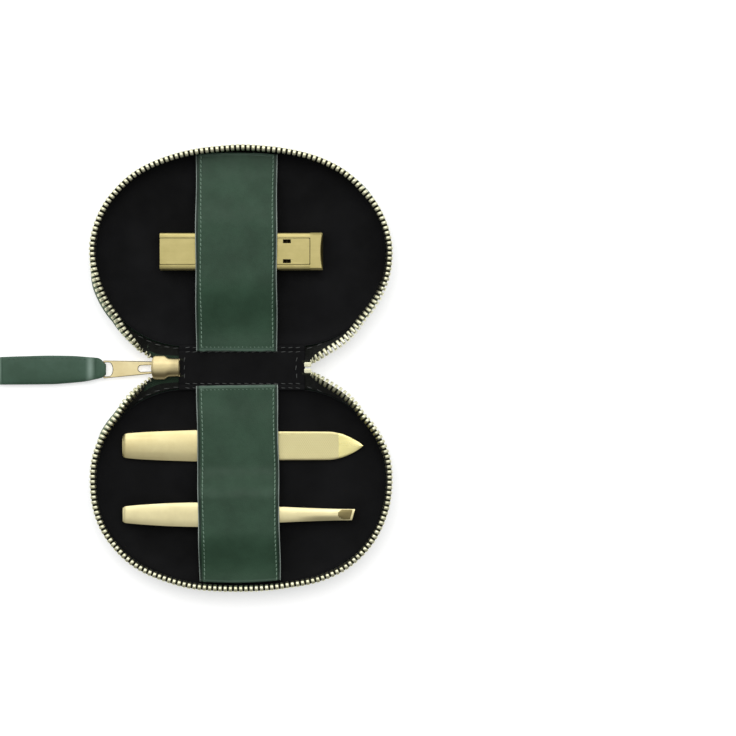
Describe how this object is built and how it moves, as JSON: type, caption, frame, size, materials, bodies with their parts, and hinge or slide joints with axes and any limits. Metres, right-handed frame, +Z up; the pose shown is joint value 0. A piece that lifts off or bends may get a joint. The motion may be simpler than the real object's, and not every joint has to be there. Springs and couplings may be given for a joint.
{
  "type": "manicure set case",
  "caption": "Oval zip case opened flat, with leather panels on a hinged spine, and a nail clipper, a nail file and tweezers held under leather straps.",
  "frame": {"origin": "middle of the base half's flat underside, where it rests on the table", "axes": "+Z up out of the open case, +Y from the base half across the spine to the cover half, +X along the spine away from the zip's slider"},
  "size_m": [0.1428, 0.1644, 0.0115],
  "materials": {
    "green_leather": "fine-grained dark green leather with a soft sheen",
    "black_lining": "smooth matt black lining",
    "zip_tape": "woven dark green zip tape",
    "stiffener_board": "moulded board, hidden between leather and lining",
    "zip_metal": "polished pale gold metal",
    "gold_steel": "satin gold-coloured stainless steel",
    "badge_enamel": "smooth dark enamel, left plain"
  },
  "bodies": {
    "base": {"base_leather_shell": "green_leather", "base_stiffener": "stiffener_board", "base_lining": "black_lining", "base_zip_tape": "zip_tape", "base_zip_chain": "zip_metal", "base_strap": "green_leather", "zip_end_base_left": "zip_tape", "zip_end_base_right": "zip_tape"},
    "spine": {"spine_leather": "green_leather", "spine_lining": "black_lining", "zip_top_stop_base": "zip_metal", "zip_top_stop_cover": "zip_metal", "zip_bottom_stop": "zip_metal"},
    "cover": {"cover_leather_shell": "green_leather", "cover_stiffener": "stiffener_board", "cover_lining": "black_lining", "cover_zip_tape": "zip_tape", "cover_zip_chain": "zip_metal", "zip_end_cover_left": "zip_tape", "zip_end_cover_right": "zip_tape", "badge_frame": "zip_metal", "badge_field": "badge_enamel"},
    "cover_strap_band": {"cover_strap": "green_leather"},
    "slider": {"slider_body": "zip_metal", "slider_crown": "zip_metal"},
    "puller": {"puller": "zip_metal"},
    "pull_tab": {"pull_tab": "green_leather"},
    "nail_file": {"nail_file": "gold_steel"},
    "tweezers": {"tweezers_lower_arm": "gold_steel"},
    "tweezers_spring_arm": {"tweezers_upper_arm": "gold_steel"},
    "clipper": {"clipper_lower_jaw": "gold_steel", "clipper_tail_rivet": "gold_steel"},
    "clipper_jaw": {"clipper_upper_jaw": "gold_steel", "clipper_hinge_pin": "gold_steel"},
    "clipper_lever": {"clipper_lever": "gold_steel"}
  },
  "joints": [
    {"name": "spine_fold", "type": "hinge", "parent": "base", "child": "spine", "pos_m": [0, 0.0359, 0.0053], "axis": [1, 0, 0], "range_deg": [0, 90], "deforming": ["zip_end_base_left", "zip_end_base_right"]},
    {"name": "cover_fold", "type": "hinge", "parent": "spine", "child": "cover", "pos_m": [0, 0.0485, 0.0053], "axis": [1, 0, 0], "range_deg": [0, 90], "deforming": ["zip_end_cover_left", "zip_end_cover_right"]},
    {"name": "slider_travel", "type": "slide", "parent": "spine", "child": "slider", "axis": [-1, 0, 0], "range_m": [0, 0.006]},
    {"name": "puller_swing", "type": "hinge", "parent": "slider", "child": "puller", "pos_m": [-0.0302, 0.0422, 0.00175], "axis": [0, -1, 0], "range_deg": [0, 120]},
    {"name": "tab_swing", "type": "hinge", "parent": "puller", "child": "pull_tab", "pos_m": [-0.05065, 0.0422, 0.00175], "axis": [0, 1, 0], "range_deg": [-40, 40]},
    {"name": "file_slide", "type": "slide", "parent": "base", "child": "nail_file", "axis": [1, 0, 0], "range_m": [-0.0025, 0.0025]},
    {"name": "tweezers_slide", "type": "slide", "parent": "base", "child": "tweezers", "axis": [1, 0, 0], "range_m": [-0.005, 0.005]},
    {"name": "tweezers_squeeze", "type": "hinge", "parent": "tweezers", "child": "tweezers_spring_arm", "pos_m": [-0.0434, -0.0119, 0.0065], "axis": [0, 1, 0], "range_deg": [0, 1], "stiffness_Nm_per_rad": 1},
    {"name": "clipper_slide", "type": "slide", "parent": "cover", "child": "clipper", "axis": [1, 0, 0], "range_m": [-0.015, 0.015]},
    {"name": "jaw_squeeze", "type": "hinge", "parent": "clipper", "child": "clipper_jaw", "pos_m": [-0.0263, 0.085, 0.0052], "axis": [0, 1, 0], "range_deg": [0, 0.7], "stiffness_Nm_per_rad": 2},
    {"name": "lever_lift", "type": "hinge", "parent": "clipper_jaw", "child": "clipper_lever", "pos_m": [0.0171, 0.085, 0.008], "axis": [0, -1, 0], "range_deg": [-12, 0], "deforming": ["cover_strap"]},
    {"name": "strap_lift", "type": "hinge", "parent": "cover", "child": "cover_strap_band", "pos_m": [0.0171, 0.085, 0.008], "axis": [0, -1, 0], "range_deg": [-12, 0], "deforming": ["cover_strap"]}
  ],
  "couplings": [
    {"joint": "cover_fold", "follows": "spine_fold", "ratio": 1},
    {"joint": "strap_lift", "follows": "lever_lift", "ratio": 1}
  ]
}
